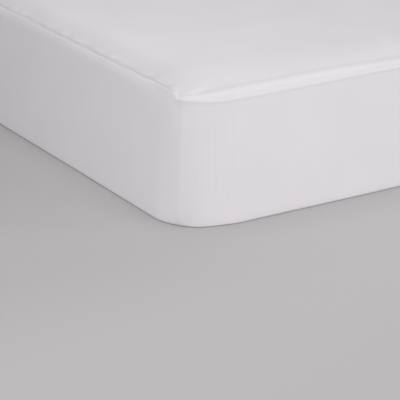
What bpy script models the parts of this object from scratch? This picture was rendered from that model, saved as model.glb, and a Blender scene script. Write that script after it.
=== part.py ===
"""Fitted mattress protector on a plain mattress, at its real size.

Units are metres, +Z is up, X runs across the mattress and Y along it. The origin is on the
surface that the mattress lies on, under the middle of it. The protector is two pieces of
cloth: a top panel, and one skirt that goes round all four sides. The skirt's upper edge is
turned over the panel's edge as a raised band, and its lower edge is turned under the mattress
as a flat hem. The cloth is stretched over the mattress, which is the third piece.
"""
import math

import bmesh
import bpy

MM = 0.001

# Driving sizes of the covered mattress
WIDTH = 0.900
LENGTH = 1.900
HEIGHT = 0.200
CLOTH = 0.002
GAP = 0.0003

# The skirt: corners in plan, and its section from the lap down to the hem
TOP_CORNER = 0.080
BOTTOM_CORNER = 0.092
BAND_HEIGHT = 0.014
BAND_BULGE = 0.0015
BAND_FOOT_BULGE = 0.9 * BAND_BULGE
BAND_EDGE_RADIUS = 0.008
LAP_WIDTH = 0.0145
LAP_DROP = 0.0012
HEM_RADIUS = 0.008
HEM_WIDTH = 0.070
WALL_ROWS = 4

# How the stretched skirt departs from straight walls and round corners
WALL_WAVE = 0.0006
WALL_WAVE_COUNT = 3
CREASE_HEIGHT = 0.0020
CREASE_TURN = 36
CREASE_HALF_WIDTH = 18
CREASE_FADE = 0.060
CORNER_REACH = 0.250
TOP_SHAPE_START = 0.170

# The top panel: its edge lies in a shallow trough under the skirt's lap
PANEL_INSET = 0.0065
TROUGH_DEPTH = 0.0035
TROUGH_START = 0.018
TROUGH_END = 0.040
PANEL_LEVEL = HEIGHT - 0.0005
RIPPLE_HEIGHT = 0.0007
RIPPLE_ACROSS = 0.21
RIPPLE_ALONG = 0.33
RIPPLE_BEND = 1.3

# The straight part of the mattress's wall inside the cloth
MATTRESS_FOOT = 0.010
MATTRESS_SHOULDER = HEIGHT - 0.016

# How finely the pieces are divided
CORNER_STEPS = 10
SIDE_MARKS = (0.05, 0.12, 0.25)
SHORT_SIDE_STEPS = 2
LONG_SIDE_STEPS = 6
EDGE_STEPS = 4
HEM_STEPS = 3
PANEL_RIM_CELL = 0.0115
PANEL_CORNER_CELLS = 4
PANEL_CELLS_ACROSS = 6
PANEL_CELLS_ALONG = 13

# Each corner of the cloth in plan, against a round one: how far out it stands at its top and
# at its foot, in mm. The top is squarer than a circle, and the hem draws the foot in beside the
# short side. The turn is counted from the long side, so all four corners mirror each other.
CORNER_SHAPE = (
    # turn round the corner in degrees, out at the top, out at the foot
    (0, 0.0, 0.0),
    (10, 0.2, 0.3),
    (20, 1.3, 0.9),
    (30, 3.4, 1.7),
    (38, 5.8, 2.9),
    (45, 7.6, 3.4),
    (53, 6.8, 1.6),
    (62, 3.6, -2.0),
    (72, 1.8, -4.9),
    (81, 1.3, -5.6),
    (90, 1.5, -4.4),
)

# Soft swells of the slack top cloth near one corner: place from the corner at -X -Y, half
# sizes and height, all in mm, with the turn of the long axis in degrees
PANEL_SWELLS = (
    # across, along, half length, half width, height, turn
    (70, 75, 70, 30, 0.8, -35),
    (250, 90, 110, 45, 0.9, -20),
    (440, 80, 120, 45, 1.3, -10),
    (180, 260, 120, 50, 0.7, -30),
    (420, 330, 140, 60, 0.8, -35),
    (650, 300, 120, 60, 1.0, -20),
    (300, 520, 130, 70, 0.8, -40),
)

# The mattress's rounded rims: how far in from its wall, in mm
MATTRESS_TOP_RIM = (
    # in from the wall, below the cloth's crest
    (0.8, 12.5),
    (2.6, 9.0),
    (6.0, 6.8),
    (16.0, 6.1),
    (50.0, 3.2),
)
MATTRESS_FOOT_RIM = (
    # in from the wall, above the surface
    (1.0, 6.5),
    (3.5, 3.5),
    (7.0, 2.3),
)

SHARP_ANGLE = math.radians(40)
CORNERS = ((1, 1), (-1, 1), (-1, -1), (1, -1))
QUARTER = math.pi / 2


def clear_scene():
    """Remove what a new scene starts with."""
    for item in list(bpy.data.objects):
        bpy.data.objects.remove(item, do_unlink=True)


def cloth_material(name, color, roughness):
    """A plain Principled material."""
    material = bpy.data.materials.new(name)
    material.use_nodes = True
    shader = material.node_tree.nodes["Principled BSDF"]
    shader.inputs["Base Color"].default_value = (*color, 1.0)
    shader.inputs["Roughness"].default_value = roughness
    shader.inputs["Metallic"].default_value = 0.0
    return material


def smoothstep(value):
    """Ease from 0 to 1 as value goes from 0 to 1."""
    value = min(max(value, 0.0), 1.0)
    return value * value * (3 - 2 * value)


def table_value(rows, column, at):
    """Value of a table's column at a place between its rows, on a smooth curve."""
    if at <= rows[0][0]:
        return rows[0][column]
    for index in range(len(rows) - 1):
        start, end = rows[index], rows[index + 1]
        if at <= end[0]:
            break
    else:
        return rows[-1][column]
    before = rows[max(index - 1, 0)]
    after = rows[min(index + 2, len(rows) - 1)]
    span = end[0] - start[0]
    slope_in = (end[column] - before[column]) / (end[0] - before[0]) * span
    slope_out = (after[column] - start[column]) / (after[0] - start[0]) * span
    part = (at - start[0]) / span
    rise = end[column] - start[column]
    curve = part * part * (3 - 2 * part) * rise
    return start[column] + curve + part * (1 - part) * ((1 - part) * slope_in - part * slope_out)


def straight_length(corner):
    """Length of the straight wall from a corner to the next one."""
    side = LENGTH if corner % 2 else WIDTH
    return side - 2 * BOTTOM_CORNER


def side_fractions(corner):
    """Where the stations lie along a side, closer together near its corners."""
    length = straight_length(corner)
    middle_steps = LONG_SIDE_STEPS if corner % 2 else SHORT_SIDE_STEPS
    near = [mark / length for mark in SIDE_MARKS]
    first, last = near[-1], 1 - near[-1]
    middle = [first + (last - first) * step / middle_steps for step in range(1, middle_steps)]
    return near + middle + [1 - fraction for fraction in reversed(near)]


def stations():
    """Places round the plan, anticlockwise: corner number, turn round it, way to the next."""
    places = []
    for corner in range(4):
        for step in range(CORNER_STEPS + 1):
            places.append((corner, 90 * step / CORNER_STEPS, 0.0))
        places += [(corner, 90, fraction) for fraction in side_fractions(corner)]
    return places


def arc_point(corner, direction, inset, radius):
    """Point of a rounded corner in plan, a distance in from the wall's outer face."""
    sign_x, sign_y = CORNERS[corner % 4]
    reach = radius - inset
    x = sign_x * (WIDTH / 2 - radius) + reach * math.cos(direction)
    y = sign_y * (LENGTH / 2 - radius) + reach * math.sin(direction)
    return x, y


def wall_offset(place, height):
    """How far the stretched cloth stands out at a station and a height."""
    corner, turn, along = place
    if corner % 2:
        turn = 90 - turn
    upper = smoothstep(height / TOP_SHAPE_START)
    top = table_value(CORNER_SHAPE, 1, turn) * MM
    foot = table_value(CORNER_SHAPE, 2, turn) * MM
    offset = foot + (top - foot) * upper
    if along:
        from_corner = min(along, 1 - along) * straight_length(corner)
        offset *= 1 - smoothstep(from_corner / CORNER_REACH)
    else:
        off_crease = abs(turn - CREASE_TURN) / CREASE_HALF_WIDTH
        offset += CREASE_HEIGHT * smoothstep(height / CREASE_FADE) * max(0.0, 1 - off_crease)
    belly = math.sin(math.pi * min(max(height / HEIGHT, 0.0), 1.0))
    waves = math.sin(2 * math.pi * WALL_WAVE_COUNT * along)
    return offset + WALL_WAVE * belly * (1 + waves)


def cloth_point(place, inset, height):
    """Point of the cloth, or of what it is stretched over, in from the wall's outer face."""
    corner, turn, along = place
    radius = BOTTOM_CORNER + (TOP_CORNER - BOTTOM_CORNER) * height / HEIGHT
    inset -= wall_offset(place, height)
    direction = math.radians(corner * 90 + turn)
    x, y = arc_point(corner, direction, inset, radius)
    if along:
        end_x, end_y = arc_point(corner + 1, direction, inset, radius)
        x += (end_x - x) * along
        y += (end_y - y) * along
    return x, y, height


def skirt_section():
    """The skirt's outer line as (inset, height), from the lap's end down to the hem's end."""
    line = [(LAP_WIDTH, HEIGHT - LAP_DROP)]
    centre = BAND_EDGE_RADIUS - BAND_BULGE
    for step in range(EDGE_STEPS + 1):
        turn = QUARTER * step / EDGE_STEPS
        inset = centre - BAND_EDGE_RADIUS * math.sin(turn)
        height = HEIGHT - BAND_EDGE_RADIUS * (1 - math.cos(turn))
        line.append((inset, height))
    seam = HEIGHT - BAND_HEIGHT
    line.append((-BAND_FOOT_BULGE, seam + CLOTH))
    for row in range(WALL_ROWS + 1):
        height = seam + (HEM_RADIUS - seam) * row / WALL_ROWS
        line.append((0.0, height))
    for step in range(1, HEM_STEPS + 1):
        turn = QUARTER * step / HEM_STEPS
        inset = HEM_RADIUS * (1 - math.cos(turn))
        height = HEM_RADIUS * (1 - math.sin(turn))
        line.append((inset, height))
    line.append((HEM_WIDTH / 2, 0.0))
    line.append((HEM_WIDTH, 0.0))
    return line


def new_object(name, mesh, material, collection):
    """Put a mesh in the scene as a named object."""
    item = bpy.data.objects.new(name, mesh)
    item.data.materials.append(material)
    collection.objects.link(item)
    return item


def cloth_object(bm, name, material, collection):
    """Make an open sheet an object with the cloth's thickness, on its inner side."""
    mesh = bpy.data.meshes.new(name)
    bm.to_mesh(mesh)
    bm.free()
    mesh.shade_smooth()
    item = new_object(name, mesh, material, collection)
    solid = item.modifiers.new("cloth thickness", "SOLIDIFY")
    solid.thickness = CLOTH
    solid.offset = -1
    solid.use_even_offset = True


def loft_round(section):
    """Carry a section, given as (inset, height) points, round the plan as an open skin."""
    bm = bmesh.new()
    lines = []
    for place in stations():
        points = [cloth_point(place, inset, height) for inset, height in section]
        lines.append([bm.verts.new(point) for point in points])
    for line, following in zip(lines, lines[1:] + lines[:1]):
        for row in range(len(section) - 1):
            bm.faces.new((line[row], line[row + 1], following[row + 1], following[row]))
    return bm, lines


def build_skirt(material, collection):
    """One ring of cloth round all four sides, from the lap down to the hem's end."""
    bm, _ = loft_round(skirt_section())
    cloth_object(bm, "skirt", material, collection)


def panel_lines(half, radius, middle_cells):
    """Positions of a grid's lines: a rim cell under the lap, corner cells and middle cells."""
    corner_cell = (radius - PANEL_RIM_CELL) / PANEL_CORNER_CELLS
    middle_cell = (half - radius) / middle_cells
    lines = [middle_cell * cell for cell in range(middle_cells + 1)]
    lines += [half - radius + corner_cell * cell for cell in range(1, PANEL_CORNER_CELLS + 1)]
    lines.append(half)
    return [-line for line in reversed(lines[1:])] + lines


def round_corner(x, y, half_x, half_y, radius):
    """Move a point of a rectangle's square corner into a round one, and leave the rest."""
    across = (abs(x) - (half_x - radius)) / radius
    along = (abs(y) - (half_y - radius)) / radius
    if across <= 0 or along <= 0:
        return x, y
    round_x = across * math.sqrt(1 - along * along / 2)
    round_y = along * math.sqrt(1 - across * across / 2)
    x = math.copysign(half_x - radius + radius * round_x, x)
    y = math.copysign(half_y - radius + radius * round_y, y)
    return x, y


def station_beside(x, y):
    """The station round the plan that a point near the panel's edge lies beside."""
    half_x = WIDTH / 2 - TOP_CORNER
    half_y = LENGTH / 2 - TOP_CORNER
    across, along = abs(x) - half_x, abs(y) - half_y
    if across > 0 and along > 0:
        corner = CORNERS.index((math.copysign(1, x), math.copysign(1, y)))
        turn = math.degrees(math.atan2(along, across))
        return corner, 90 - turn if corner % 2 else turn, 0.0
    if across > along:
        return (3 if x > 0 else 1), 90, 0.5 + math.copysign(y / half_y, x * y) / 2
    return (0 if y > 0 else 2), 90, 0.5 - math.copysign(x / half_x, x * y) / 2


def beyond_core(x, y):
    """How far a point lies beyond the centres of the corners' curve, and in which direction."""
    across = abs(x) - (WIDTH / 2 - TOP_CORNER)
    along = abs(y) - (LENGTH / 2 - TOP_CORNER)
    if across > 0 and along > 0:
        outwards = math.hypot(across, along)
        return outwards, math.copysign(across / outwards, x), math.copysign(along / outwards, y)
    if across > along:
        return across, math.copysign(1, x), 0.0
    return along, 0.0, math.copysign(1, y)


def follow_wall(x, y):
    """Move a point near the panel's edge out with the stretched wall beside it."""
    outwards, direction_x, direction_y = beyond_core(x, y)
    share = max(outwards, 0.0) / (TOP_CORNER - PANEL_INSET)
    offset = share * wall_offset(station_beside(x, y), HEIGHT)
    return x + offset * direction_x, y + offset * direction_y


def panel_inset(x, y):
    """Distance in from the stretched wall's outer face, round the corners too."""
    outwards, _, _ = beyond_core(x, y)
    return TOP_CORNER - outwards + wall_offset(station_beside(x, y), HEIGHT)


def panel_height(x, y):
    """Upper side of the top cloth: the trough at its edge, a slow ripple and soft swells."""
    turn_along = 2 * math.pi * y / RIPPLE_ALONG
    bend = RIPPLE_BEND * math.sin(turn_along / 3)
    ripple = math.cos(turn_along) * math.sin(2 * math.pi * x / RIPPLE_ACROSS + bend)
    swell = RIPPLE_HEIGHT * (1 + ripple) / 2
    for across, along, half_length, half_width, height, turn in PANEL_SWELLS:
        away_x = x + WIDTH / 2 - across * MM
        away_y = y + LENGTH / 2 - along * MM
        cos_turn, sin_turn = math.cos(math.radians(turn)), math.sin(math.radians(turn))
        lengthwise = (away_x * cos_turn + away_y * sin_turn) / (half_length * MM)
        crosswise = (away_y * cos_turn - away_x * sin_turn) / (half_width * MM)
        swell += height * MM * math.exp(-lengthwise * lengthwise - crosswise * crosswise)
    rise = smoothstep((panel_inset(x, y) - TROUGH_START) / (TROUGH_END - TROUGH_START))
    low = HEIGHT - TROUGH_DEPTH
    return low + rise * (PANEL_LEVEL + swell - low)


def build_top_panel(material, collection):
    """Bend a flat grid to the panel's rounded outline and its slack surface, and thicken it."""
    half_x = WIDTH / 2 - PANEL_INSET
    half_y = LENGTH / 2 - PANEL_INSET
    radius = TOP_CORNER - PANEL_INSET
    lines_x = panel_lines(half_x, radius, PANEL_CELLS_ACROSS)
    lines_y = panel_lines(half_y, radius, PANEL_CELLS_ALONG)
    cells_x, cells_y = len(lines_x) - 1, len(lines_y) - 1
    bm = bmesh.new()
    bmesh.ops.create_grid(bm, x_segments=cells_x, y_segments=cells_y, size=1)
    for vert in bm.verts:
        column = round((vert.co.x + 1) / 2 * cells_x)
        row = round((vert.co.y + 1) / 2 * cells_y)
        x, y = round_corner(lines_x[column], lines_y[row], half_x, half_y, radius)
        x, y = follow_wall(x, y)
        vert.co = (x, y, panel_height(x, y))
    cloth_object(bm, "top_panel", material, collection)


def mattress_section():
    """The mattress's side as (inset, height), from the panel down and in under the hem."""
    wall = CLOTH + GAP
    top_rim = [(wall + inset * MM, HEIGHT - below * MM) for inset, below in MATTRESS_TOP_RIM]
    foot_rim = [(wall + inset * MM, height * MM) for inset, height in MATTRESS_FOOT_RIM]
    line = list(reversed(top_rim))
    for row in range(WALL_ROWS + 1):
        height = MATTRESS_SHOULDER + (MATTRESS_FOOT - MATTRESS_SHOULDER) * row / WALL_ROWS
        line.append((wall, height))
    line += foot_rim
    line += [(HEM_WIDTH + GAP, CLOTH + GAP), (HEM_WIDTH + 2 * GAP, 0.0)]
    return line


def build_mattress(material, collection):
    """A plain block that fills the cloth, with a shallow step round its foot for the hem."""
    bm, lines = loft_round(mattress_section())
    bm.faces.new([line[0] for line in lines])
    bm.faces.new([line[-1] for line in reversed(lines)])
    mesh = bpy.data.meshes.new("mattress")
    bm.to_mesh(mesh)
    bm.free()
    mesh.shade_smooth()
    mesh.set_sharp_from_angle(angle=SHARP_ANGLE)
    new_object("mattress", mesh, material, collection)


def main():
    clear_scene()
    collection = bpy.data.collections.new("mattress_protector")
    bpy.context.scene.collection.children.link(collection)
    skirt_cloth = cloth_material("skirt cloth", (0.80, 0.77, 0.80), 0.75)
    panel_cloth = cloth_material("panel cloth", (0.78, 0.75, 0.78), 0.80)
    ticking = cloth_material("mattress ticking", (0.80, 0.79, 0.76), 0.85)
    build_skirt(skirt_cloth, collection)
    build_top_panel(panel_cloth, collection)
    build_mattress(ticking, collection)
    print("skirt, top_panel and mattress built")


main()
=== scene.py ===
# %% [markdown]
# # A fitted mattress protector on its mattress
# The real thing is two pieces of white stretch cloth: a top panel, and a skirt that goes round all
# four sides. They are sewn together near the top edge, where the skirt is turned over the panel's
# edge as a raised band. The skirt's lower edge is turned under the mattress as a hem.
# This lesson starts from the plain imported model, which gives the place and the size of each
# piece, and makes a finer cloth piece in the place of each plain one.

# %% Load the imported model
import math

import bmesh
import bpy
import numpy as np
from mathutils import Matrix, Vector, noise


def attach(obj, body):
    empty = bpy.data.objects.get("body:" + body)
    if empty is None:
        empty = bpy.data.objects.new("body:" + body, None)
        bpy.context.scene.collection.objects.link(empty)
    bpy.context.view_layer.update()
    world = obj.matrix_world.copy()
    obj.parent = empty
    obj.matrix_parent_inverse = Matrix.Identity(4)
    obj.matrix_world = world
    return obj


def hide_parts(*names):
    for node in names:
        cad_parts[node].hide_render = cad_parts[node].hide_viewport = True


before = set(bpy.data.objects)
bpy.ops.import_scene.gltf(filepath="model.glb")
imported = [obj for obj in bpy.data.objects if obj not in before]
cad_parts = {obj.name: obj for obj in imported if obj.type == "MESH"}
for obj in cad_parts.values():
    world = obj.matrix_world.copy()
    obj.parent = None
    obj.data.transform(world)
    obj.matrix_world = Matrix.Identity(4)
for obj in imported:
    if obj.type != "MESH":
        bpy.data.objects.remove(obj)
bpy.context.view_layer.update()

# %% [markdown]
# ## Sizes
# These are the sizes that the plain model is made from, in metres. The cloth pieces have to lie
# where its solids lie, so the lesson starts from the same names and numbers.

# %% Sizes of the covered mattress
MM = 0.001
WIDTH = 0.900
LENGTH = 1.900
HEIGHT = 0.200
CLOTH = 0.002
TOP_CORNER = 0.080
BOTTOM_CORNER = 0.092
HEM_WIDTH = 0.070
CORNERS = ((1, 1), (-1, 1), (-1, -1), (1, -1))  # on which side of the middle, in x and y

# %% [markdown]
# ## Reading a short table as a smooth line
# Cloth has no straight edges, so its sections are given as a few rows of a table. A smooth curve
# through the rows gives every place between them. The slope at a row comes from its neighbours.

# %% A smooth curve through a table's rows
def column_of(rows, column):
    """One column of a table as an array."""
    return np.array([row[column] for row in rows], float)


def smooth_line(places, values, at):
    """Values at any places, on a smooth curve through the given ones."""
    slopes = np.gradient(values, places)
    slopes[0] = slopes[-1] = 0.0
    at = np.clip(at, places[0], places[-1])
    index = np.clip(np.searchsorted(places, at, side="right") - 1, 0, len(places) - 2)
    span = places[index + 1] - places[index]
    part = (at - places[index]) / span
    start = (1 + 2 * part) * (1 - part) ** 2 * values[index]
    start += part * (1 - part) ** 2 * span * slopes[index]
    end = part ** 2 * (3 - 2 * part) * values[index + 1]
    end += part ** 2 * (part - 1) * span * slopes[index + 1]
    return start + end


def ease(value):
    """Ease from 0 to 1 as value goes from 0 to 1."""
    value = np.clip(value, 0.0, 1.0)
    return value * value * (3 - 2 * value)


# %% [markdown]
# ## Stations round the mattress
# Both cloth pieces follow the same rounded outline, so they share one list of stations. At each
# station the cloth's section is drawn, and neighbouring sections are joined by faces. Corners
# bend and have a crease, so their stations lie closer together than those of the sides. Every
# second station is a coarse one: away from the seam the cloth needs only those.

# %% Make the stations
CREASE_ZONE = (28.0, 42.0)
COARSE_TURN, COARSE_TURN_AT_CREASE = 2.0, 1.0
SIDE_STEP_NEAR, SIDE_STEP_FAR, SIDE_NEAR_REACH = 0.004, 0.010, 0.150


def corner_turns(corner):
    """Turns round a corner in degrees, closer together where the crease is."""
    first, last = CREASE_ZONE
    before = np.arange(0.0, first, COARSE_TURN)
    crease = np.arange(first, last, COARSE_TURN_AT_CREASE)
    after = np.arange(last, 90.0 + COARSE_TURN / 2, COARSE_TURN)
    turns = np.concatenate([before, crease, after])
    return 90.0 - turns[::-1] if corner % 2 else turns


def side_marks(length):
    """Distances along a side, closer together near both of its ends."""
    marks = [0.0]
    while marks[-1] < length / 2:
        nearness = min(marks[-1] / SIDE_NEAR_REACH, 1.0)
        marks.append(marks[-1] + SIDE_STEP_NEAR + (SIDE_STEP_FAR - SIDE_STEP_NEAR) * nearness)
    half = np.array(marks) * (length / 2 / marks[-1])
    return np.concatenate([half, length - half[-2::-1]])


def with_midpoints(values):
    """The same list with a value added half way between each two."""
    doubled = np.empty(2 * len(values) - 1)
    doubled[0::2] = values
    doubled[1::2] = (values[:-1] + values[1:]) / 2
    return doubled


corner_list, turn_list, share_list, after_list, before_list = [], [], [], [], []
for corner in range(4):
    side = (LENGTH if corner % 2 else WIDTH) - 2 * TOP_CORNER
    turns = with_midpoints(corner_turns(corner))
    marks = with_midpoints(side_marks(side))[1:-1]
    corner_list += [corner] * (len(turns) + len(marks))
    turn_list += [*turns, *np.full(len(marks), 90.0)]
    share_list += [*np.zeros(len(turns)), *(marks / side)]
    after_list += [*np.zeros(len(turns)), *marks]
    before_list += [*np.full(len(turns), side), *(side - marks)]
CORNER = np.array(corner_list)
TURN = np.array(turn_list)
SHARE = np.array(share_list)
AFTER = np.array(after_list)
BEFORE = np.array(before_list)
AT_CORNER = SHARE == 0
COUNT = len(CORNER)
FROM_CORNER = np.where(AT_CORNER, 0.0, np.minimum(AFTER, BEFORE))
FROM_LONG_SIDE = np.where(CORNER % 2 == 0, TURN, 90.0 - TURN)
print("stations:", COUNT)

# %% [markdown]
# ## The corner's own shape
# Stretched cloth doesn't follow a true circle. The mattress's corner is squarer at its top, and
# the hem draws its foot in beside the short side. A soft upright crease shows where the skirt
# turns, with very faint upright streaks beside it, and the whole wall leans out a little to its
# foot. The table gives how far the cloth stands out from a round corner. The turn is counted from
# the long side, so that all four corners mirror each other.

# %% How far the cloth stands out of a round corner
CORNER_SHAPE = (
    # turn in degrees, out at the top, out at the foot (mm)
    (0, 1.2, 1.2),
    (10, 2.9, 2.2),
    (20, 6.5, 2.6),
    (30, 9.9, 2.6),
    (38, 10.0, 2.8),
    (45, 8.8, 3.2),
    (53, 6.4, 1.6),
    (62, 3.4, -1.4),
    (72, 1.8, -3.6),
    (81, 1.3, -3.9),
    (90, 1.5, -2.6),
)
TOP_SHAPE_START = 0.170
CORNER_REACH = 0.250
FOOT_LEAN = 0.0032
CREASE_TURN, CREASE_LEAN = 39.4, -6.0  # degrees, and how far it leans over the wall's height
CREASE_WIDTH, CREASE_SOFTNESS = 9.0, 0.7  # degrees
CREASE_HEIGHT, CREASE_FOOT = 0.0038, 0.012
WALL_WAVE, WALL_WAVE_COUNT = 0.0006, 3
STREAK_TURNS, STREAK_START = (6.1, 9.7), 12.0  # degrees
STREAK_HEIGHT, STREAK_REACH = 0.00018, 0.070

SHAPE_TURNS = column_of(CORNER_SHAPE, 0)
OUT_AT_TOP = smooth_line(SHAPE_TURNS, column_of(CORNER_SHAPE, 1), FROM_LONG_SIDE) * MM
OUT_AT_FOOT = smooth_line(SHAPE_TURNS, column_of(CORNER_SHAPE, 2), FROM_LONG_SIDE) * MM
SIDE_FADE = 1 - ease(FROM_CORNER / CORNER_REACH)


def wall_offset(height):
    """How far the cloth stands out of a plain rounded wall, at every station."""
    upper = ease(height / TOP_SHAPE_START)
    offset = (OUT_AT_FOOT + (OUT_AT_TOP - OUT_AT_FOOT) * upper) * SIDE_FADE
    offset += FOOT_LEAN * (1 - height / HEIGHT)
    crease_turn = CREASE_TURN + CREASE_LEAN * (1 - height / HEIGHT)
    away = np.hypot(FROM_LONG_SIDE - crease_turn, CREASE_SOFTNESS) / CREASE_WIDTH
    offset += np.where(AT_CORNER, CREASE_HEIGHT * ease(height / CREASE_FOOT) * np.exp(-away), 0.0)
    belly = math.sin(math.pi * min(max(height / HEIGHT, 0.0), 1.0))
    offset += WALL_WAVE * belly * (1 + np.sin(2 * math.pi * WALL_WAVE_COUNT * SHARE))
    turned = FROM_LONG_SIDE + np.degrees(FROM_CORNER / TOP_CORNER)
    near = ease((turned - CREASE_TURN) / STREAK_START) * (1 - ease(FROM_CORNER / STREAK_REACH))
    near = np.where(FROM_LONG_SIDE > CREASE_TURN, near, 0.0)
    streaks = sum(np.sin(2 * math.pi * turned / step) for step in STREAK_TURNS)
    return offset + STREAK_HEIGHT * belly * near * streaks


def plan(inset, height, offset):
    """Places in plan at every station, a distance in from the wall's outer face."""
    radius = BOTTOM_CORNER + (TOP_CORNER - BOTTOM_CORNER) * np.asarray(height) / HEIGHT
    reach = radius - inset + offset
    direction = np.radians(CORNER * 90 + TURN)
    signs = np.array(CORNERS + CORNERS[:1], float)
    here, following = signs[CORNER], signs[CORNER + 1]
    half_x, half_y = WIDTH / 2 - radius, LENGTH / 2 - radius
    x = half_x * (here[:, 0] + (following[:, 0] - here[:, 0]) * SHARE)
    y = half_y * (here[:, 1] + (following[:, 1] - here[:, 1]) * SHARE)
    return x + reach * np.cos(direction), y + reach * np.sin(direction)


wall_x, wall_y = plan(0.0, HEIGHT / 2, 0.0)
STEPS = np.hypot(np.roll(wall_x, -1) - wall_x, np.roll(wall_y, -1) - wall_y)
ROUND = np.concatenate([[0.0], np.cumsum(STEPS)])
PERIMETER = ROUND[-1]
print(f"the skirt is {PERIMETER:.3f} m round")

# %% [markdown]
# ## Joining rows of points into cloth
# A piece is a list of rows, and each row has a point at every station or at every second one.
# Where a fine row meets a coarse one, three triangles take the place of two squares. Each corner
# of a face is given its place on the flat cloth in metres, so that a knit keeps its true size.

# %% Join rows of vertices into faces
CLOTH_MAP = "cloth"


class Row:
    """One line of the cloth round the mattress."""

    def __init__(self, bm, points, across):
        self.verts = [bm.verts.new(point) for point in points]
        step = 1 if len(points) == COUNT else 2
        self.round = list(ROUND[:-1:step]) + [PERIMETER]
        self.across = across

    def corner(self, index):
        """Vertex and flat place of one point, going on past the end of the row."""
        return self.verts[index % len(self.verts)], (self.round[index], self.across)


def add_face(bm, uv_layer, corners):
    """Make one face and give each of its corners a place on the flat cloth."""
    face = bm.faces.new([vert for vert, _ in corners])
    face.smooth = True
    places = dict(corners)
    for loop in face.loops:
        loop[uv_layer].uv = places[loop.vert]


def join_rows(bm, uv_layer, upper, lower):
    """Fill the strip between two rows, the second of which may be a coarse one."""
    if len(upper.verts) == len(lower.verts):
        for i in range(len(upper.verts)):
            high_left, high_right = upper.corner(i), upper.corner(i + 1)
            low_left, low_right = lower.corner(i), lower.corner(i + 1)
            add_face(bm, uv_layer, (high_left, low_left, low_right, high_right))
        return
    for i in range(len(lower.verts)):
        left, middle, right = (upper.corner(2 * i + k) for k in range(3))
        low_left, low_right = lower.corner(i), lower.corner(i + 1)
        add_face(bm, uv_layer, (left, low_left, middle))
        add_face(bm, uv_layer, (middle, low_left, low_right))
        add_face(bm, uv_layer, (middle, low_right, right))


THICKNESS_GROUP = "thickness"


def set_thickness_share(layer, rows, shares):
    """Give the rows' vertices a share of the cloth's thickness, to thin it at an edge."""
    for row, share in zip(rows, shares):
        for vert in row.verts:
            vert[layer][0] = share


def finish_piece(bm, name, thickness=None):
    """Turn the built faces into an object, with the cloth's thickness on its inner side."""
    thinned = bm.verts.layers.deform.active is not None
    bm.normal_update()
    mesh = bpy.data.meshes.new(name)
    bm.to_mesh(mesh)
    bm.free()
    piece = bpy.data.objects.new(name, mesh)
    bpy.context.scene.collection.objects.link(piece)
    if thickness:
        solid = piece.modifiers.new("cloth thickness", "SOLIDIFY")
        solid.thickness = thickness
        solid.offset = -1
        solid.use_even_offset = True
        if thinned:
            piece.vertex_groups.new(name=THICKNESS_GROUP)
            solid.vertex_group = THICKNESS_GROUP
    print(f"{name}: {len(mesh.polygons)} faces before its thickness")
    return piece


# %% [markdown]
# ## The band's section
# The seam's edges lie under the cloth and lift it as a band. On the long sides it is low, with a
# thin crest beside a sharp groove. On the short sides it is taller and rolls softly over the
# edge, and its crest flattens away from the corners. Each table follows the cloth's outer face
# from the lap's end, over the crest and down to the band's foot. Each has the same number of
# rows, so that one form can run into the next.

# %% Sections of the band
LONG_SIDE_BAND = (
    # in from the wall's face, below the crest (mm)
    (10.2, 5.0),
    (9.0, 4.3),
    (7.8, 2.8),
    (6.7, 1.3),
    (5.6, 0.3),
    (4.5, 0.0),
    (3.4, 0.2),
    (2.4, 1.0),
    (1.5, 2.9),
    (0.6, 5.8),
    (-0.1, 8.8),
)
SHORT_SIDE_BAND = (
    # in from the wall's face, below the crest (mm)
    (15.5, 0.0),
    (12.6, 0.5),
    (9.8, 1.2),
    (7.4, 2.1),
    (5.5, 3.2),
    (4.0, 4.7),
    (2.8, 6.6),
    (1.8, 8.9),
    (0.8, 11.6),
    (-0.4, 14.2),
    (-0.2, 15.4),
)
SHORT_SIDE_FAR_BAND = (
    # in from the wall's face, below the crest (mm)
    (16.0, 3.2),
    (13.0, 3.6),
    (10.4, 4.0),
    (8.0, 4.5),
    (6.0, 5.1),
    (4.4, 6.0),
    (3.1, 7.4),
    (2.1, 9.3),
    (1.0, 11.7),
    (-0.4, 13.9),
    (-0.2, 14.8),
)
BAND_ROWS = 22


def band_line(rows):
    """The section as many points, evenly spaced along the table's rows."""
    places = np.arange(len(rows), dtype=float)
    at = np.linspace(0, len(rows) - 1, BAND_ROWS)
    inset = smooth_line(places, column_of(rows, 0), at) * MM
    return inset, smooth_line(places, column_of(rows, 1), at) * MM


# %% [markdown]
# ## The tuck at each corner
# The two forms of the band meet in a small tuck, a little before the crease. The seam is pulled
# down there, so beyond the tuck the crest lies lower and the band is narrower, and both grow
# again towards the short side. Before the tuck, on the long side, the pull makes the groove
# shallower, lifts the crest by a millimetre and steepens the band's outer side. All three fade
# with the distance from the corner.

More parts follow.
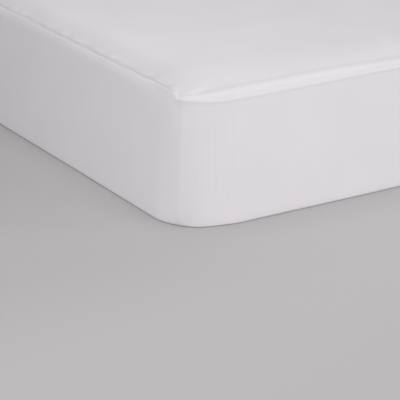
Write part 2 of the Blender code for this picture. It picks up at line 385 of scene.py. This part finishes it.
# %% Where the band's forms meet
TUCK_TURN = 31.8
TUCK_WIDTH_AT_LAP, TUCK_WIDTH_AT_FOOT = 8.0, 1.4
SHALLOWER_BY_TUCK, SHALLOWER_REACH = 0.58, 0.160
RISE_BY_TUCK, RISE_REACH = 0.0010, 0.120
STEEPER_BY_TUCK, STEEPER_REACH = 0.5, 0.045
FAR_BAND_START, FAR_BAND_END = 0.150, 0.340
BAND_AT_CORNER = (
    # turn; long side: dip (mm), width share, groove share; short side: dip (mm), width share
    (0, 0.0, 1.0, 1.0, 4.2, 0.38),
    (12, -0.3, 0.85, 0.9, 4.2, 0.38),
    (24, 0.1, 0.6, 0.6, 4.2, 0.38),
    (31, 1.1, 0.5, 0.25, 4.2, 0.38),
    (37, 1.1, 0.5, 0.25, 4.0, 0.38),
    (43, 0.8, 0.5, 0.25, 3.6, 0.44),
    (49, 0.8, 0.5, 0.25, 3.1, 0.58),
    (57, 0.8, 0.5, 0.25, 2.4, 0.72),
    (65, 0.8, 0.5, 0.25, 1.1, 0.88),
    (77, 0.8, 0.5, 0.25, 0.2, 0.99),
    (90, 0.8, 0.5, 0.25, 0.0, 1.0),
)


def at_corner(column):
    """One column of the table at every station."""
    turns = column_of(BAND_AT_CORNER, 0)
    return smooth_line(turns, column_of(BAND_AT_CORNER, column), FROM_LONG_SIDE)


def mix(first, second, share):
    """A value between two, by a share from 0 to 1."""
    return first + (second - first) * share


def short_share(down):
    """1 along the short side, 0 along the long one, from the lap (down 0) to the foot (1)."""
    width = mix(TUCK_WIDTH_AT_LAP, TUCK_WIDTH_AT_FOOT, down)
    return ease((FROM_LONG_SIDE - TUCK_TURN) / width + 0.5)


def by_tuck(amount, reach):
    """An amount that is full at each corner and fades out along the sides."""
    return amount * (1 - ease(FROM_CORNER / reach))


LONG_DIP, LONG_WIDTH, LONG_GROOVE, SHORT_DIP, SHORT_WIDTH = map(at_corner, range(1, 6))
GROOVE_SHARE = 1 - by_tuck(SHALLOWER_BY_TUCK, SHALLOWER_REACH)
RISE = by_tuck(RISE_BY_TUCK, RISE_REACH)
STEEPER = by_tuck(STEEPER_BY_TUCK, STEEPER_REACH)
FAR_SHARE = ease((FROM_CORNER - FAR_BAND_START) / (FAR_BAND_END - FAR_BAND_START))
print(f"the tuck leaves {GROOVE_SHARE.min():.2f} of the groove at the corners")

# %% [markdown]
# ## Lumps in the band
# The seam allowance inside the band is bunched here and there, so that its lower edge wavers.
# Smooth noise along the seam gives such lumps. It is the same in every run, because it depends
# on the place alone.

# %% Uneven seam allowance
LUMP_LENGTH = 0.032
LUMP_DROP = 0.0011
CREST_WAVER_LENGTH = 0.011
CREST_WAVER = 0.00025
NOISE_GAIN = 1.6
CREST_NOISE_ROW, SCALLOP_NOISE_ROW = 7.3, 3.1


def along_noise(length, row=0.0):
    """Smooth noise round the mattress, about -1 to 1, with lumps of a given length."""
    radius = PERIMETER / (2 * math.pi * length)
    angle = ROUND[:-1] / PERIMETER * 2 * math.pi
    values = [noise.noise(Vector((radius * math.cos(a), radius * math.sin(a), row))) for a in angle]
    return np.array(values) * NOISE_GAIN


LUMPS = along_noise(LUMP_LENGTH)
CREST_WAVE = along_noise(CREST_WAVER_LENGTH, CREST_NOISE_ROW)
print(f"lumps from {LUMPS.min():.2f} to {LUMPS.max():.2f}")

# %% [markdown]
# ## The band's rows round the mattress
# At each station the band's section is a blend of the three tables: one for the long sides, and
# on the short sides a near and a far one. The tuck's shares and dips are put in on the way.

# %% Rows of the band
LONG_SIDE_CREST, SHORT_SIDE_CREST = HEIGHT + 0.0022, HEIGHT + 0.0036


def band_rows():
    """Inset and height of each row of the band, at every station."""
    long_in, long_below = band_line(LONG_SIDE_BAND)
    short_in, short_below = band_line(SHORT_SIDE_BAND)
    far_in, far_below = band_line(SHORT_SIDE_FAR_BAND)
    crest_row = int(np.argmin(long_below))
    rows = []
    for row in range(BAND_ROWS):
        down = ease(row / (BAND_ROWS - 1))
        share = short_share(down)
        long_inset, long_drop = long_in[row], long_below[row]
        if row < crest_row:
            # the groove has a share of its own in place of the width share that comes below
            long_drop = long_drop * LONG_GROOVE / LONG_WIDTH * GROOVE_SHARE
        else:
            long_inset = mix(long_inset, long_in[crest_row], STEEPER)
        inset = mix(long_inset, mix(short_in[row], far_in[row], FAR_SHARE), share)
        below = mix(long_drop, mix(short_below[row], far_below[row], FAR_SHARE), share)
        width_share = mix(LONG_WIDTH, SHORT_WIDTH, share)
        crest = mix(LONG_SIDE_CREST + RISE, SHORT_SIDE_CREST, share)
        crest = crest - mix(LONG_DIP, SHORT_DIP, share) * MM
        height = crest - below * width_share - LUMP_DROP * LUMPS * down * (1 - share)
        rows.append((inset * width_share + CREST_WAVER * CREST_WAVE * (1 - down), height))
    return rows


BAND = band_rows()
print(f"the band's foot is {np.min(BAND[-1][1]):.4f} to {np.max(BAND[-1][1]):.4f} m high")

# %% [markdown]
# ## The skirt
# One strip of stretch cloth goes round all four sides. Its section runs from the lap, over the
# band, down the wall and under the mattress. The same section is carried round the stations, as
# a tailor's strip would be. A loft was chosen over a cloth simulation, because a stretched skirt
# hardly wrinkles, and its band needs exact forms. Its fold at the foot is tighter than the plain
# model's, as the edge of a well pulled hem is, and the lap grows thin towards its end.

# %% Build the skirt
WALL_HEIGHTS = (0.184, 0.178, 0.168, 0.150, 0.125, 0.100, 0.075, 0.050, 0.030, 0.016)
HEM_RADIUS, HEM_STEPS = 0.004, 4
HEM_FLAT = (0.018, 0.040, HEM_WIDTH)
LAP_END_SHARE = 0.15
LAP_THIN_ROWS = 8


def points_at(inset, height, offset, coarse=False):
    """Points of one row at every station, or at every second one."""
    x, y = plan(inset, height, offset)
    z = np.broadcast_to(np.asarray(height, float), x.shape)
    points = np.column_stack([x, y, z])
    return points[::2] if coarse else points


def skirt_section():
    """Inset, height, offset and coarseness of each row, from the lap to the hem's edge."""
    section = [(inset, height, wall_offset(HEIGHT), False) for inset, height in BAND]
    section += [(0.0, height, wall_offset(height), True) for height in WALL_HEIGHTS]
    for step in range(HEM_STEPS + 1):
        turn = math.pi / 2 * step / HEM_STEPS
        inset = HEM_RADIUS * (1 - math.cos(turn))
        height = HEM_RADIUS * (1 - math.sin(turn))
        section.append((inset, height, wall_offset(height), True))
    return section + [(inset, 0.0, wall_offset(0.0), True) for inset in HEM_FLAT]


def build_skirt():
    """Carry the section round the stations."""
    bm = bmesh.new()
    thickness_layer = bm.verts.layers.deform.new()
    uv_layer = bm.loops.layers.uv.new(CLOTH_MAP)
    rows, across, last = [], 0.0, None
    for inset, height, offset, coarse in skirt_section():
        points = points_at(inset, height, offset, coarse)
        if last is not None:
            across += float(np.linalg.norm(points[0] - last))
        last = points[0]
        rows.append(Row(bm, points, across))
    for upper, lower in zip(rows, rows[1:]):
        join_rows(bm, uv_layer, upper, lower)
    thin = np.linspace(LAP_END_SHARE, 1.0, LAP_THIN_ROWS)
    set_thickness_share(thickness_layer, rows, [*thin, *np.ones(len(rows) - LAP_THIN_ROWS)])
    print(f"skirt section {across * 1000:.0f} mm across")
    return finish_piece(bm, "skirt_cloth", CLOTH)


skirt = build_skirt()

# %% [markdown]
# ## The top cloth's surface
# The panel lies slack on the mattress, so it has low swells, fine drag lines that run aslant
# from the seam, and a soft fold from each tuck. Its middle lies about 8 mm above the mattress's
# height, and it falls towards all four edges. Its height is worked out point by point from named
# swells and waves. That gives more control over a few soft forms than a simulation.

# %% Height of the top cloth
PANEL_LEVEL = HEIGHT + 0.0082
SIDE_FALL, SIDE_FALL_REACH = 0.0104, 0.062  # towards the long sides
END_FALL, END_FALL_REACH = 0.0056, 0.105  # towards the short sides
CORNER_END_FALL, CORNER_SIDE_SHARE = 0.0030, 0.7
FAR_END_FALL, FAR_START, FAR_FADE = 0.0018, 0.250, 0.140
CORNER_FALL_START, CORNER_FALL_FADE = 0.035, 0.080
PANEL_SWELLS = (
    # across, along, half length, half width, height (mm), turn of the long axis (degrees)
    (75, 95, 65, 42, 2.6, -8),
    (250, 90, 110, 45, 0.9, -20),
    (440, 80, 120, 45, 1.3, -10),
    (180, 260, 120, 50, 0.7, -30),
    (420, 330, 140, 60, 0.8, -35),
    (650, 300, 120, 60, 1.0, -20),
    (300, 520, 130, 70, 0.8, -40),
)
RIPPLE_HEIGHT, RIPPLE_ACROSS, RIPPLE_ALONG, RIPPLE_BEND = 0.0007, 0.21, 0.33, 1.3
DRAG_DIRECTION = math.radians(32)
SEAM_DRAG = (0.0182, 0.0011, 0.045)  # spacing, height, reach
DRAG_START, DRAG_FADE = 0.040, 0.130
DRAG_WAVER, DRAG_WAVER_LENGTH = 1.2, 0.110
CLUSTER_LENGTH, CLUSTER_WAVER, CLUSTER_WAVER_RUN = 0.055, 1.9, 0.041
CORNER_DRAG = (0.0270, 0.0007, 0.050)  # spacing, height, reach
CORNER_DRAG_PLACE = (0.080, 0.055)  # in from the long side, in from the short one
FOLD_START, FOLD_END = (0.027, 0.032), (0.073, 0.105)  # in from both sides
FOLD_DEPTH, FOLD_RUN = 0.0012, 0.012


def swells(x, y):
    """Low swells of slack cloth over a slow ripple."""
    turn_along = 2 * math.pi * y / RIPPLE_ALONG
    bend = RIPPLE_BEND * np.sin(turn_along / 3)
    ripple = np.cos(turn_along) * np.sin(2 * math.pi * x / RIPPLE_ACROSS + bend)
    height = RIPPLE_HEIGHT * (1 + ripple) / 2
    for across, along, half_length, half_width, rise, turn in PANEL_SWELLS:
        away_x = x + WIDTH / 2 - across * MM
        away_y = y + LENGTH / 2 - along * MM
        cos_turn, sin_turn = math.cos(math.radians(turn)), math.sin(math.radians(turn))
        lengthwise = (away_x * cos_turn + away_y * sin_turn) / (half_length * MM)
        crosswise = (away_y * cos_turn - away_x * sin_turn) / (half_width * MM)
        height = height + rise * MM * np.exp(-lengthwise ** 2 - crosswise ** 2)
    return height


def drag_lines(x, y, inset):
    """Fine lines aslant from the seam, in clusters, and a few longer ones near each corner."""
    across = x * math.sin(DRAG_DIRECTION) + y * math.cos(DRAG_DIRECTION)
    spacing, rise, reach = SEAM_DRAG
    waver = CLUSTER_WAVER * np.sin((y - x) / CLUSTER_WAVER_RUN)
    clusters = 0.5 + 0.5 * np.sin(2 * math.pi * (x + y) / CLUSTER_LENGTH + waver)
    waver = DRAG_WAVER * np.sin(2 * math.pi * across / DRAG_WAVER_LENGTH)
    waves = np.sin(2 * math.pi * across / spacing + waver)
    fade = np.clip(1 - inset / reach, 0, 1) ** 2
    from_end = LENGTH / 2 - np.abs(y)
    height = rise * waves * clusters * fade * ease((from_end - DRAG_START) / DRAG_FADE)
    spacing, rise, reach = CORNER_DRAG
    from_x = WIDTH / 2 - np.abs(x) - CORNER_DRAG_PLACE[0]
    from_y = LENGTH / 2 - np.abs(y) - CORNER_DRAG_PLACE[1]
    near = np.exp(-(from_x ** 2 + from_y ** 2) / reach ** 2)
    return height + rise * np.sin(2 * math.pi * across / spacing) * near


def corner_fold(x, y):
    """A soft fold from each tuck inwards: the cloth beside the long side lies a little lower."""
    way = np.subtract(FOLD_END, FOLD_START)
    length = np.hypot(*way)
    from_x = WIDTH / 2 - np.abs(x) - FOLD_START[0]
    from_y = LENGTH / 2 - np.abs(y) - FOLD_START[1]
    along = (from_x * way[0] + from_y * way[1]) / length
    beside = np.maximum((from_y * way[0] - from_x * way[1]) / length, 0.0)
    fade = ease(1 + along / FOLD_RUN) * (1 - ease(along / length))
    return -FOLD_DEPTH * (1 - np.exp(-beside / FOLD_RUN)) * np.exp(-beside / length) * fade


def panel_level(x, y):
    """Height of the slack cloth away from the seam: it falls towards all four edges."""
    from_side = WIDTH / 2 - np.abs(x)
    from_end = LENGTH / 2 - np.abs(y)
    by_side = 1 - ease((from_side - CORNER_FALL_START) / CORNER_FALL_FADE)
    by_end = 1 - ease((from_end - CORNER_FALL_START) / CORNER_FALL_FADE)
    side_fall = SIDE_FALL * (1 - CORNER_SIDE_SHARE * by_end)
    far = ease((from_side - FAR_START) / FAR_FADE)
    end_fall = END_FALL + CORNER_END_FALL * by_side + FAR_END_FALL * far
    fall = side_fall * np.clip(1 - from_side / SIDE_FALL_REACH, 0, 1) ** 2
    fall = fall + end_fall * np.clip(1 - from_end / END_FALL_REACH, 0, 1) ** 2
    inset = np.minimum(from_side, from_end)
    return PANEL_LEVEL - fall + swells(x, y) + drag_lines(x, y, inset) + corner_fold(x, y)


print(f"top cloth {panel_level(0.0, 0.0):.4f} m high in the middle")

# %% [markdown]
# ## The groove beside the band
# The panel's edge runs a little way under the lap. Beside the lap the cloth dips into a groove.
# Along the long sides the groove is narrow, and its rim comes and goes in small scallops, where
# the seam's stitches pull. Along the short sides it is wide and soft.

# %% Height of the top cloth beside the seam
LAP_CLEARANCE = 0.0005
UNDER_LAP_SLOPE = 0.45
GROOVE_REACH, WIDE_GROOVE_REACH = 0.009, 0.040
GROOVE_POWER, WIDE_GROOVE_POWER = 3.0, 2.0
SCALLOP_LENGTH, SCALLOP_DEPTH, SCALLOP_REACH = 0.026, 0.0018, 0.034
SCALLOP_WIDTH, SCALLOP_BIAS = 0.020, 0.2
LAP_INSET, LAP_HEIGHT = BAND[0]
SHORT_SHARE = short_share(0.0)
GROOVE_WIDENS = ease((FROM_LONG_SIDE - TUCK_TURN) / (90 - TUCK_TURN)) * SHORT_SHARE
SCALLOPS = along_noise(SCALLOP_LENGTH, SCALLOP_NOISE_ROW)


def rim_height(x, y, inset):
    """Height near the seam: under the lap, then a groove with scallops, and the slack cloth."""
    past = inset - LAP_INSET
    under = LAP_HEIGHT - LAP_CLEARANCE + UNDER_LAP_SLOPE * np.minimum(past, 0)
    level = panel_level(x, y)
    away = np.clip(past / SCALLOP_REACH, 0, 1)
    level = level - SCALLOP_DEPTH * SCALLOPS * (1 - SHORT_SHARE) * (1 - away) ** 2
    drop = level - (LAP_HEIGHT - LAP_CLEARANCE)
    wider = np.clip(SCALLOPS + SCALLOP_BIAS, 0, 1)
    reach = GROOVE_REACH + SCALLOP_WIDTH * GROOVE_SHARE ** 2 * wider
    groove = np.clip(1 - past / mix(reach, WIDE_GROOVE_REACH, GROOVE_WIDENS), 0, 1)
    groove = groove ** mix(GROOVE_POWER, WIDE_GROOVE_POWER, GROOVE_WIDENS)
    return np.where(past < 0, under, level - drop * groove)


print(f"the lap ends {np.min(LAP_INSET):.4f} to {np.max(LAP_INSET):.4f} m in from the wall")

# %% [markdown]
# ## Building the top cloth
# Rows that follow the seam carry the groove and the fine drag lines. They run in as far as the
# centre of the corners' curve, where a plain grid takes over. Its lines meet the rows' stations,
# so the two parts merge into one sheet.

# %% Build the top cloth
UNDER_LAP = 0.003
RIM_SHARES = (0, 0.06, 0.12, 0.17, 0.22, 0.27, 0.32, 0.38, 0.45, 0.53, 0.62, 0.73, 0.86, 1)
RIM_END = 0.029
INNER_INSETS = (33.0, 38.0, 44.0, 51.0, 59.0, 69.0, 80.0)  # mm
MERGE_DISTANCE = 1e-5


def rim_rows(bm):
    """Rows that follow the seam, from under the lap to the centre of the corners' curve."""
    rows = []
    start = LAP_INSET - UNDER_LAP
    insets = [(mix(start, RIM_END, share), False) for share in RIM_SHARES]
    insets += [(np.full(COUNT, mm * MM), True) for mm in INNER_INSETS]
    for inset, coarse in insets:
        fade = 1 - ease(inset / TOP_CORNER)
        x, y = plan(inset, HEIGHT, wall_offset(HEIGHT) * fade)
        points = np.column_stack([x, y, rim_height(x, y, inset)])
        rows.append(Row(bm, points[::2] if coarse else points, -float(inset[0])))
    return rows


def add_grid(bm):
    """The plain grid inside the rows."""
    lines_x = side_marks(WIDTH - 2 * TOP_CORNER) - (WIDTH / 2 - TOP_CORNER)
    lines_y = side_marks(LENGTH - 2 * TOP_CORNER) - (LENGTH / 2 - TOP_CORNER)
    grid_x, grid_y = np.meshgrid(lines_x, lines_y)
    grid_z = panel_level(grid_x, grid_y)
    verts = [
        [bm.verts.new(point) for point in zip(line_x, line_y, line_z)]
        for line_x, line_y, line_z in zip(grid_x, grid_y, grid_z)
    ]
    for near, far in zip(verts, verts[1:]):
        for i in range(len(lines_x) - 1):
            face = bm.faces.new((near[i], near[i + 1], far[i + 1], far[i]))
            face.smooth = True


def build_top():
    """Join the rows and the grid into one sheet, with its faces' fronts up."""
    bm = bmesh.new()
    uv_layer = bm.loops.layers.uv.new(CLOTH_MAP)
    rows = rim_rows(bm)
    for outer, inner in zip(rows, rows[1:]):
        join_rows(bm, uv_layer, outer, inner)
    add_grid(bm)
    bmesh.ops.remove_doubles(bm, verts=bm.verts, dist=MERGE_DISTANCE)
    bmesh.ops.recalc_face_normals(bm, faces=bm.faces)
    for face in bm.faces:
        for loop in face.loops:
            loop[uv_layer].uv = loop.vert.co.xy
    if sum(face.normal.z for face in bm.faces) < 0:
        bmesh.ops.reverse_faces(bm, faces=bm.faces)
    return finish_piece(bm, "top_cloth", CLOTH)


top = build_top()

# %% [markdown]
# ## The mattress
# The mattress only fills the cloth. A plain loft of the same outline, a cloth's thickness further
# in, is enough, and it shows only from below.

# %% Build the mattress
MATTRESS_SECTION = (
    # in from the cloth's outer face, height (mm)
    (110.0, 203.0),
    (60.0, 201.0),
    (34.0, 198.6),
    (18.3, 196.0),
    (8.3, 192.9),
    (4.9, 190.8),
    (3.1, 187.3),
    (2.6, 180.0),
    (2.6, 150.0),
    (2.6, 100.0),
    (2.6, 50.0),
    (2.6, 14.0),
    (3.3, 6.5),
    (5.8, 3.6),
    (9.3, 2.5),
    (70.4, 2.4),
    (70.8, 0.2),
)
TICKING_STEP = 0.020  # from row to row on the ticking's flat map


def build_mattress():
    """Carry the mattress's section round the stations and close it above and below."""
    bm = bmesh.new()
    uv_layer = bm.loops.layers.uv.new(CLOTH_MAP)
    rows, across = [], 0.0
    for inset, height in MATTRESS_SECTION:
        height *= MM
        points = points_at(inset * MM, height, wall_offset(height), coarse=True)
        rows.append(Row(bm, points, across))
        across += TICKING_STEP
    for upper, lower in zip(rows, rows[1:]):
        join_rows(bm, uv_layer, upper, lower)
    for verts in (rows[0].verts, rows[-1].verts[::-1]):
        face = bm.faces.new(verts)
        for loop in face.loops:
            loop[uv_layer].uv = loop.vert.co.xy
    return finish_piece(bm, "mattress_body")


mattress = build_mattress()

# %% [markdown]
# ## Materials
# White cloth is never one flat white. Fibres scatter light, the knit makes tiny ridges, and slack
# cloth is a little uneven in tone. The knit is a bump pattern in metres on the cloth's flat map.
# Numbers that are the same all over, such as the roughness, go on the shader's own sockets.

# %% Helpers for node materials
SHEEN_ROUGHNESS = 0.5
SPECULAR_LEVEL = 0.2
TONE_START, TONE_END = 0.3, 0.7
STITCH_SLANT = 2.4
STITCH_DEPTH = 0.5


def new_material(name, roughness, sheen):
    """A matt material, and what its nodes are made with."""
    material = bpy.data.materials.new(name)
    material.use_nodes = True
    shader = material.node_tree.nodes["Principled BSDF"]
    shader.inputs["Roughness"].default_value = roughness
    shader.inputs["Sheen Weight"].default_value = sheen
    shader.inputs["Sheen Roughness"].default_value = SHEEN_ROUGHNESS
    shader.inputs["Specular IOR Level"].default_value = SPECULAR_LEVEL
    return material, material.node_tree.nodes, material.node_tree.links, shader


def math_node(nodes, links, operation, *values):
    """A Math node whose inputs are numbers or other nodes' outputs."""
    node = nodes.new("ShaderNodeMath")
    node.operation = operation
    for socket, value in zip(node.inputs, values):
        if isinstance(value, (int, float)):
            socket.default_value = value
        else:
            links.new(value, socket)
    return node.outputs[0]


def noise_node(nodes, links, coordinates, size, detail=2.0):
    """Noise whose clouds are about a given size in metres."""
    node = nodes.new("ShaderNodeTexNoise")
    node.inputs["Scale"].default_value = 1.0 / size
    node.inputs["Detail"].default_value = detail
    links.new(coordinates, node.inputs["Vector"])
    return node.outputs["Fac"]


def tone(nodes, links, shader, factor, dark, light):
    """Colour the cloth between two near whites."""
    ramp = nodes.new("ShaderNodeValToRGB")
    ramp.color_ramp.elements[0].position = TONE_START
    ramp.color_ramp.elements[1].position = TONE_END
    ramp.color_ramp.elements[0].color = (*dark, 1.0)
    ramp.color_ramp.elements[1].color = (*light, 1.0)
    links.new(factor, ramp.inputs["Fac"])
    links.new(ramp.outputs["Color"], shader.inputs["Base Color"])


def knit_height(nodes, links, wale, course):
    """Height of a jersey knit: columns of small V stitches, in metres on the flat cloth."""
    flat = nodes.new("ShaderNodeUVMap")
    flat.uv_map = CLOTH_MAP
    parts = nodes.new("ShaderNodeSeparateXYZ")
    links.new(flat.outputs["UV"], parts.inputs["Vector"])
    columns = math_node(nodes, links, "MULTIPLY", parts.outputs["X"], 2 / wale)
    leg = math_node(nodes, links, "PINGPONG", columns, 1.0)
    ridge = math_node(nodes, links, "SINE", math_node(nodes, links, "MULTIPLY", leg, math.pi))
    rows = math_node(nodes, links, "MULTIPLY", parts.outputs["Y"], math.pi / course)
    slant = math_node(nodes, links, "MULTIPLY_ADD", leg, STITCH_SLANT, rows)
    stitch = math_node(nodes, links, "ABSOLUTE", math_node(nodes, links, "SINE", slant))
    loops = math_node(nodes, links, "MULTIPLY_ADD", stitch, STITCH_DEPTH, 1 - STITCH_DEPTH)
    return math_node(nodes, links, "MULTIPLY", ridge, loops)


def bump(nodes, links, shader, layers):
    """Chain bump nodes, each given as its height, its strength and its distance in metres."""
    normal = None
    for height, strength, distance in layers:
        node = nodes.new("ShaderNodeBump")
        node.inputs["Strength"].default_value = strength
        node.inputs["Distance"].default_value = distance
        links.new(height, node.inputs["Height"])
        if normal is not None:
            links.new(normal, node.inputs["Normal"])
        normal = node.outputs["Normal"]
    links.new(normal, shader.inputs["Normal"])


# %% [markdown]
# ## Skirt, top and ticking
# The skirt is a smooth stretch jersey. The top is a denser, lightly brushed knit. The mattress
# has a plain off-white twill ticking.

# %% Make the three materials
JERSEY_DARK, JERSEY_LIGHT = (0.797, 0.772, 0.797), (0.817, 0.792, 0.817)
BRUSHED_DARK, BRUSHED_LIGHT = (0.79, 0.765, 0.79), (0.81, 0.785, 0.81)
TICKING_DARK, TICKING_LIGHT = (0.76, 0.75, 0.71), (0.81, 0.80, 0.77)
TWILL_SCALE, TWILL_DISTORTION = 160.0, 0.4


def jersey_material():
    """Smooth stretch jersey, for the skirt."""
    material, nodes, links, shader = new_material("skirt_jersey", roughness=0.75, sheen=0.15)
    place = nodes.new("ShaderNodeTexCoord").outputs["Object"]
    clouds = noise_node(nodes, links, place, size=0.09)
    tone(nodes, links, shader, clouds, JERSEY_DARK, JERSEY_LIGHT)
    fuzz = noise_node(nodes, links, place, size=0.0011, detail=3.0)
    knit = knit_height(nodes, links, wale=0.0009, course=0.0007)
    bump(nodes, links, shader, [(knit, 0.25, 0.0002), (fuzz, 0.15, 0.0002)])
    return material


def brushed_material():
    """Dense knit with a light nap, for the top."""
    material, nodes, links, shader = new_material("top_brushed_knit", roughness=0.85, sheen=0.2)
    place = nodes.new("ShaderNodeTexCoord").outputs["Object"]
    clouds = noise_node(nodes, links, place, size=0.07, detail=3.0)
    tone(nodes, links, shader, clouds, BRUSHED_DARK, BRUSHED_LIGHT)
    fuzz = noise_node(nodes, links, place, size=0.0016, detail=4.0)
    knit = knit_height(nodes, links, wale=0.0008, course=0.0008)
    bump(nodes, links, shader, [(knit, 0.15, 0.0002), (fuzz, 0.3, 0.0003)])
    return material


def ticking_material():
    """Plain twill, for the mattress."""
    material, nodes, links, shader = new_material("mattress_twill", roughness=0.85, sheen=0.1)
    place = nodes.new("ShaderNodeTexCoord").outputs["Object"]
    clouds = noise_node(nodes, links, place, size=0.05)
    tone(nodes, links, shader, clouds, TICKING_DARK, TICKING_LIGHT)
    flat = nodes.new("ShaderNodeUVMap")
    flat.uv_map = CLOTH_MAP
    wave = nodes.new("ShaderNodeTexWave")
    wave.bands_direction = "DIAGONAL"
    wave.inputs["Scale"].default_value = TWILL_SCALE
    wave.inputs["Distortion"].default_value = TWILL_DISTORTION
    links.new(flat.outputs["UV"], wave.inputs["Vector"])
    bump(nodes, links, shader, [(wave.outputs["Fac"], 0.4, 0.0003)])
    return material


skirt.data.materials.append(jersey_material())
top.data.materials.append(brushed_material())
mattress.data.materials.append(ticking_material())
print("materials:", [piece.data.materials[0].name for piece in (skirt, top, mattress)])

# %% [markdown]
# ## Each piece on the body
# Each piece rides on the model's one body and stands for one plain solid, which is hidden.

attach(skirt, "root")
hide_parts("skirt")
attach(top, "root")
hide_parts("top_panel")
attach(mattress, "root")
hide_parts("mattress")

# %% [markdown]
# ## Floor
# The covered mattress rests on a plain pale floor, which is wide enough to fill the picture.

# %% Floor
FLOOR_HALF = 8.0
FLOOR_COLOR = (0.58, 0.565, 0.575, 1.0)


def build_floor():
    """One flat square under the mattress."""
    bm = bmesh.new()
    bmesh.ops.create_grid(bm, x_segments=1, y_segments=1, size=FLOOR_HALF)
    floor = finish_piece(bm, "floor")
    material, _, _, shader = new_material("floor_matt", roughness=0.9, sheen=0.0)
    shader.inputs["Base Color"].default_value = FLOOR_COLOR
    floor.data.materials.append(material)


build_floor()

# %% [markdown]
# ## Light
# White cloth shows its form only by soft shades. One light hangs overhead for the top. Two stand
# in front of the short side, which is the brightest. A large one beyond its far end grazes the
# cloth, so that the band's low forms show, and a small one on the left lifts the long side to a
# soft shade. A pale world fills in the rest.

# %% Light
CORNER_PLACE = Vector((-WIDTH / 2, -LENGTH / 2, HEIGHT / 2))
WORLD_STRENGTH = 0.35


def area_light(name, azimuth, elevation, distance, size, power):
    """A soft square light that looks at the photographed corner, placed by angles from it."""
    data = bpy.data.lights.new(name, "AREA")
    data.size = size
    data.energy = power
    turn, lift = math.radians(azimuth), math.radians(elevation)
    level = math.cos(lift)
    back = Vector((-math.sin(turn) * level, -math.cos(turn) * level, math.sin(lift)))
    light = bpy.data.objects.new(name, data)
    light.location = CORNER_PLACE + back * distance
    light.rotation_mode = "QUATERNION"
    light.rotation_quaternion = back.to_track_quat("Z", "Y")
    bpy.context.scene.collection.objects.link(light)


area_light("overhead", azimuth=85, elevation=81, distance=1.4, size=1.2, power=8.0)
area_light("right", azimuth=-60, elevation=10, distance=4.5, size=1.4, power=44.7)
area_light("front", azimuth=-30, elevation=10, distance=4.5, size=1.4, power=41.0)
area_light("far side", azimuth=-100, elevation=12, distance=9.0, size=2.8, power=300.0)
area_light("left", azimuth=60, elevation=6, distance=2.2, size=0.5, power=15.5)
world = bpy.data.worlds.new("studio")
world.use_nodes = True
background = world.node_tree.nodes["Background"]
background.inputs["Color"].default_value = (1.0, 1.0, 1.0, 1.0)
background.inputs["Strength"].default_value = WORLD_STRENGTH
bpy.context.scene.world = world
bpy.context.scene.view_settings.view_transform = "Standard"
print("lights:", len(bpy.data.lights))

# %% [markdown]
# ## Camera
# The camera looks down on one corner from some way off, through a long lens. Its place and
# angles were worked out from the directions of the mattress's edges in the picture.

# %% Camera
LENS, SENSOR_WIDTH = 166.5, 36.0  # mm
CLIP_END = 100.0
CAMERA_PLACE = (-1.7243, -3.0236, 0.9816)
CAMERA_DOWN, CAMERA_ROUND = 20.854, 32.035  # degrees

camera_data = bpy.data.cameras.new("camera")
camera_data.lens = LENS
camera_data.sensor_width = SENSOR_WIDTH
camera_data.clip_end = CLIP_END
camera = bpy.data.objects.new("camera", camera_data)
camera.location = CAMERA_PLACE
camera.rotation_euler = (math.radians(90 - CAMERA_DOWN), 0.0, -math.radians(CAMERA_ROUND))
bpy.context.scene.collection.objects.link(camera)
bpy.context.scene.camera = camera
